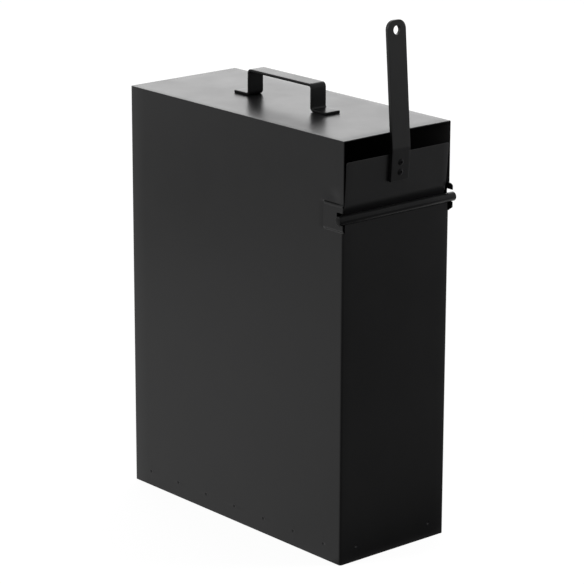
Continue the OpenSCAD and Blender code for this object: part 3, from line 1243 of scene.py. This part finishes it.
@dataclass
class HingeRod:
    """The round bar across the front, with chamfered ends."""

    size: Measures
    chamfer: float = 1.0 * MM
    ease: float = 0.25 * MM

    def build(self, shop: Workshop) -> None:
        """Turns the rod's profile: flat ends, eased chamfers and a long straight run.

        Args:
            shop: The workshop that dresses it.
        """
        low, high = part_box("hinge_rod")
        radius = self.size.rod_r
        face = radius - self.chamfer
        ends = np.array([
            [0, 0], [0, face - self.ease], [0.07 * MM, face - 0.07 * MM],
            [0.3 * MM, face + 0.3 * MM], [self.chamfer - self.ease, radius - self.ease],
            [self.chamfer - 0.05 * MM, radius - 0.08 * MM], [self.chamfer + 0.2 * MM, radius],
        ])
        length = high.x - low.x
        other = ends[::-1] * np.array([-1, 1]) + np.array([length, 0])
        profile = np.vstack([ends, [[length / 3, radius], [2 * length / 3, radius]], other])
        profile[:, 0] += low.x
        rod = self.size.from_flap(turned(profile, 64))
        shop.piece("flap_rod", rod, Body.FLAP, Slot.BAR, Coat.ROD, "hinge_rod")


@dataclass
class Lever:
    """The flat bar on the flap, with its bend, round end and hole, and the rivets through it."""

    size: Measures
    width: float = 25 * MM
    thickness: float = 4 * MM
    lap: float = 29 * MM
    neck: float = 4 * MM
    bend_r: float = 16 * MM
    arm: float = 131.445 * MM
    end_r: float = 10 * MM
    hole_r: float = 4.75 * MM
    hole_in: float = 10.5 * MM
    edge: float = 0.3 * MM
    rivet_pitch: float = 10.6 * MM
    rivet_d: float = 4 * MM
    tail_d: float = 6.4 * MM
    tail_h: float = 1 * MM
    head_d: float = 7.6 * MM
    head_h: float = 1.4 * MM
    head_hole_r: float = 1.3 * MM
    head_hole_deep: float = 2.6 * MM

    def build(self, shop: Workshop) -> None:
        """Builds the bar and its two rivets.

        Args:
            shop: The workshop that dresses them.
        """
        s = self.size
        bar = self._bar()
        lever = s.from_flap(bar.placed(self._flat_bar(bar)))
        shop.piece("lever_bar", lever, Body.FLAP, Slot.BAR, Coat.LEVER, "lever", crease=50)
        pair = s.from_flap(Surface.joined([self._rivet(sign) for sign in (-1, 1)]))
        shop.piece("rivet_pair", pair, Body.FLAP, Slot.BAR, Coat.RIVET, "lever_rivets", crease=50)

    def _bar(self) -> Bar:
        """Works out the bar's middle line in the flap's frame.

        Returns:
            Up the plate, back through the bend and up the arm.
        """
        middle_r = self.bend_r + self.thickness / 2
        bend = self.size.lever_bend
        start = (self.size.flap_face() - self.thickness / 2, self.size.flap_reach - self.lap)
        runs = [(self.lap + self.neck, 0.0), (middle_r * bend, -bend), (self.arm, 0.0)]
        return Bar(start, math.pi / 2, runs)

    def _flat_bar(self, bar: Bar) -> Surface:
        """Draws the bar flat: a grid up to the head, and rings from the hole to the outline there.

        Args:
            bar: The bar's middle line.

        Returns:
            The closed plate with its hole.
        """
        half = self.width / 2
        length = bar.length()
        centre = length - self.hole_in
        neck = centre - half
        corner_x, corner_y = half - self.end_r, length - self.end_r
        ease = np.array([0, 0.05, 0.12, 0.21, 0.3]) * MM
        shank = bar.grid(half, neck, (3 * MM, 10 * MM), ease, whole=False)
        x = shank[0, :, 0]

        side = stations((neck, corner_y, 2 * MM))[1:-1]
        arch = np.radians(np.linspace(0, 90, 25))
        turn = np.column_stack([np.cos(arch), np.sin(arch)]) * self.end_r + [corner_x, corner_y]
        right = np.vstack([np.column_stack([np.full(len(side), half), side]), turn])
        left = right[::-1] * np.array([-1, 1])
        floor = np.column_stack([x, np.full(len(x), neck)])
        outline = np.vstack([floor, right, [[0, length]], left, [[-half, neck]]])
        heading = np.arctan2(outline[:, 1] - centre, outline[:, 0])
        hole = np.column_stack([np.cos(heading), np.sin(heading)]) * self.hole_r + [0, centre]
        gap = half - self.hole_r
        share = merged(ease / gap, np.linspace(0.15, 0.85, 5), 1 - ease / gap)
        rings = hole[None] + (outline - hole)[None] * share[:, None, None]
        head = np.concatenate([rings, np.zeros((*rings.shape[:2], 1))], axis=2)
        flat = Surface.joined([Surface.grid(shank), Surface.grid(head, flip=True)]).welded()

        px, py = flat.points[:, 0], flat.points[:, 1]
        from_hole = np.hypot(px, py - centre) - self.hole_r
        past_x, past_y = np.abs(px) - corner_x, py - corner_y
        rounded = self.end_r - np.hypot(past_x, past_y)
        straight = np.minimum(half - np.abs(px), length - py)
        outer = np.where((past_x > 0) & (past_y > 0), rounded, straight)
        distance = np.minimum(np.minimum(outer, py), from_hole)
        return plate(flat, self.thickness, distance, self.edge)

    def _rivet(self, sign: int) -> Surface:
        """Builds a blind rivet: a low dome with a hole in it, a shank and a smaller dome behind.

        In the hole's floor the stub of the pin stands up a little.

        Args:
            sign: -1 for the lower rivet and 1 for the upper one.

        Returns:
            The rivet in the flap's frame.
        """
        start = self.size.flap_face() - self.thickness
        end = self.size.flap_face() + self.size.flap_t
        hole = self.head_hole_r
        stub = np.array([[0.3, 0], [0.27, 0.45], [0.12, 0.72], [0, 0.8], [0, 1.2], [0.12, 1.38]]) * MM
        stub[:, 0] -= self.head_hole_deep
        top = self._dome(self.head_d, self.head_h, hole + 0.15 * MM)
        edge = np.array([[top[0, 0] - 0.15 * MM, hole], [top[0, 0] - 0.04 * MM, hole + 0.04 * MM]])
        head = np.vstack([stub, edge, top]) * np.array([-1, 1]) + [start, 0]
        tail = self._dome(self.tail_d, self.tail_h, 0) + [end, 0]
        shank = np.array([[start, self.rivet_d / 2], [end, self.rivet_d / 2]])
        surface = turned(np.vstack([head, shank, tail[::-1]]), 40)
        x, y, z = surface.points.T
        middle = self.size.flap_reach - self.lap / 2 + sign * self.rivet_pitch / 2
        return Surface(np.column_stack([y, x, z + middle]), surface.quads[:, ::-1])

    @staticmethod
    def _dome(width: float, height: float, inner: float) -> np.ndarray:
        """Profile of a dome, a cap of the ball of radius (width^2 / 4 + height^2) / (2 height).

        Args:
            width: Its width at the rim.
            height: Its height.
            inner: Radius from which on it is drawn.

        Returns:
            Heights over the rim, and radii, from inner to the rim.
        """
        ball = (width**2 / 4 + height**2) / (2 * height)
        radius = inner + (width / 2 - inner) * np.sin(np.linspace(0, math.pi / 2, 9))
        return np.column_stack([np.sqrt(ball**2 - radius**2) - (ball - height), radius])


@dataclass(frozen=True)
class Softbox:
    """A rectangular lamp, which gloss may be told not to mirror."""

    name: str
    place: Triple
    aim: Triple
    size: Pair
    power: float
    mirrored: bool = True

    def hang(self) -> None:
        """Hangs the lamp at its place, turned towards its aim."""
        data = bpy.data.lights.new(self.name, "AREA")
        data.shape = "RECTANGLE"
        data.size, data.size_y = self.size
        data.energy = self.power
        lamp = bpy.data.objects.new(self.name, data)
        bpy.context.scene.collection.objects.link(lamp)
        lamp.location = self.place
        lamp.rotation_euler = (Vector(self.place) - Vector(self.aim)).to_track_quat("Z", "Y").to_euler()
        if not self.mirrored:
            lamp.visible_glossy = lamp.visible_camera = False


@dataclass
class Studio:
    """The camera, the pale floor and the soft light."""

    target: Triple = (53.2 * MM, 51.0 * MM, 226.6 * MM)
    distance: float = 3120.8 * MM
    azimuth: float = -40.914
    elevation: float = 16.360
    roll: float = 0.189
    focal_px: float = 2781.2
    image_px: float = 584.0
    sky: Pair = (1.0, 0.95)
    fill: float = 0.35
    floor_size: float = 60.0
    floor_paint: float = 0.2
    floor_light: Pair = (0.9, 1.0)
    dark_from: Triple = (50 * MM, -176 * MM, 0)
    dark_reach: float = 7.0
    dark_side: float = -28.0
    dark_strip: float = 20.0
    dark_level: float = 0.15
    front_fade: Pair = (-10 * MM, 20 * MM)
    side_fade: Pair = (0, 80 * MM)
    strip_fade: Pair = (25 * MM, 120 * MM)
    spot_place: Triple = (-1.0, 1.17, 0)
    spot_fade: Pair = (0.1, 0.48)
    spot_level: float = 0.15

    def build(self) -> None:
        """Sets up camera, floor, world and lamps."""
        self._camera()
        self._floor()
        self._world()
        left = Softbox("left_softbox", (-2.0, 0.9, 1.7), aim=(0, 0, 0.25), size=(1.2, 1.2), power=22.0)
        back = Softbox("back_softbox", (1.9, 2.2, 1.35), aim=(0, 0, 0.46), size=(3.0, 1.5), power=25.0)
        filler = Softbox(
            "right_filler", (0.42, -0.50, 0.50), aim=(0.05, -0.17, 0.43), size=(0.25, 0.25),
            power=2.0, mirrored=False,
        )
        for softbox in (left, back, filler):
            softbox.hang()
        bpy.context.scene.view_settings.view_transform = "Standard"

    def _camera(self) -> None:
        """Places the camera at the photograph's angle; its axes are worked out as for a turntable."""
        az, el, roll = (math.radians(angle) for angle in (self.azimuth, self.elevation, self.roll))
        back = np.array([math.sin(az) * math.cos(el), -math.cos(az) * math.cos(el), math.sin(el)])
        level = np.array([math.cos(az), math.sin(az), 0])
        up = np.cross(back, level)
        right = math.cos(roll) * level + math.sin(roll) * up
        top = math.cos(roll) * up - math.sin(roll) * level
        data = bpy.data.cameras.new("camera")
        data.sensor_width = 36.0
        data.lens = self.focal_px / self.image_px * data.sensor_width
        data.clip_end = 100.0
        camera = bpy.data.objects.new("camera", data)
        place = np.eye(4)
        place[:3, 0], place[:3, 1], place[:3, 2] = right, top, back
        place[:3, 3] = np.array(self.target) + back * self.distance
        camera.matrix_world = Matrix(place.tolist())
        bpy.context.scene.collection.objects.link(camera)
        bpy.context.scene.camera = camera

    def _floor(self) -> None:
        """Lays a wide pale floor, lifted by a little of its own light so that it stays pale."""
        half = self.floor_size / 2
        corners = np.array([[[-half, -half, 0], [half, -half, 0]], [[-half, half, 0], [half, half, 0]]])
        floor = Surface.grid(corners).linked("floor")
        material = bpy.data.materials.new("pale_floor")
        material.use_nodes = True
        tree = material.node_tree
        tree.nodes.remove(tree.nodes["Principled BSDF"])
        place = tree.nodes.new("ShaderNodeTexCoord").outputs["Object"]
        colour = (self.floor_paint, self.floor_paint, self.floor_paint, 1)
        paint = feed(tree, tree.nodes.new("ShaderNodeBsdfDiffuse"), {"Color": colour})
        strength = self._seen_light(tree, self.floor_light, self._pale_share(tree, place))
        glow = feed(tree, tree.nodes.new("ShaderNodeEmission"), {"Strength": strength})
        shaders = {0: paint.outputs[0], 1: glow.outputs[0]}
        both = feed(tree, tree.nodes.new("ShaderNodeAddShader"), shaders)
        feed(tree, tree.nodes["Material Output"], {"Surface": both.outputs[0]})
        floor.data.materials.append(material)

    def _pale_share(self, tree: Tree, place: Socket) -> Socket:
        """Share of light that the floor shows to gloss: 1 beside and behind the bucket.

        In front of it the floor is dark near the bucket and grows paler in a straight line with
        the distance, because the studio's light stands behind the object. The dark part ends at
        the bucket's front plane and, on the right, at a line with the bearing dark_side. Past a
        line that is turned by dark_strip from the front plane it has the share dark_level at
        least. So the share is the largest of four ramps, each of which climbs in its own
        direction from the point dark_from. A soft dark spot at the back left, which shades the
        upper rear part of the wide wall, multiplies it.

        Args:
            tree: The floor's tree.
            place: The floor's places.

        Returns:
            The share at each place.
        """
        away = vector_maths(tree, "SUBTRACT", place, self.dark_from, "Vector")
        side = math.radians(self.dark_side + 90)
        strip = math.radians(self.dark_strip)
        ramps = [
            ((0, 1, 0), self.front_fade, 1.0),
            ((math.cos(side), math.sin(side), 0), self.side_fade, 1.0),
            ((0, -1, 0), (0, self.dark_reach), 1.0),
            ((-math.sin(strip), -math.cos(strip), 0), self.strip_fade, self.dark_level),
        ]
        total = None
        for direction, (near, far), most in ramps:
            along = vector_maths(tree, "DOT_PRODUCT", away, direction, "Value")
            ramp = feed(tree, tree.nodes.new("ShaderNodeMapRange"), {
                "Value": along, "From Min": near, "From Max": far, "To Max": most,
            })
            share = ramp.outputs["Result"]
            total = share if total is None else maths(tree, "MAXIMUM", total, share)
        gap = vector_maths(tree, "DISTANCE", place, self.spot_place, "Value")
        near, far = self.spot_fade
        spot = tree.nodes.new("ShaderNodeMapRange")
        spot.interpolation_type = "SMOOTHSTEP"
        feed(tree, spot, {"Value": gap, "From Min": near, "From Max": far, "To Min": self.spot_level})
        return maths(tree, "MULTIPLY", total, spot.outputs["Result"])

    @staticmethod
    def _seen_light(tree: Tree, strength: Pair, share: Socket | float = 1.0) -> Socket:
        """Light that camera, glossy and transmission rays see and that lights nothing.

        Args:
            tree: The node tree of a material or a world.
            strength: The strength that the camera sees, and the one that gloss and glass see.
            share: Share of the second one.

        Returns:
            The strength for each ray.
        """
        direct, mirrored = strength
        path = tree.nodes.new("ShaderNodeLightPath").outputs
        bounced = maths(tree, "MAXIMUM", path["Is Glossy Ray"], path["Is Transmission Ray"])
        shown = maths(tree, "MULTIPLY", maths(tree, "MULTIPLY", bounced, share), mirrored)
        seen = maths(tree, "MULTIPLY", path["Is Camera Ray"], direct)
        return maths(tree, "MAXIMUM", seen, shown)

    def _world(self) -> None:
        """Lights the object with a pale sky and shows it as white."""
        world = bpy.data.worlds.new("world")
        world.use_nodes = True
        tree = world.node_tree
        strength = maths(tree, "MAXIMUM", self._seen_light(tree, self.sky), self.fill)
        feed(tree, tree.nodes["Background"], {"Color": (1, 1, 1, 1), "Strength": strength})
        bpy.context.scene.world = world


def main() -> None:
    """Builds the bucket around the frame."""
    logging.basicConfig(level=logging.INFO, format="%(message)s")
    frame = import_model()
    Studio().build()
    size = Measures.read(frame)
    shop = Workshop(frame)
    BodyShell(size).build(shop)
    TopPanel(size).build(shop)
    CarryHandle(size).build(shop)
    FlapPlate(size).build(shop)
    HingeRod(size).build(shop)
    Lever(size).build(shop)
    for node in ("rear_panel", "base_pan"):
        shop.coat_node(node, Coat.SHELL)
    bpy.context.view_layer.update()


if __name__ == "__main__":
    main()
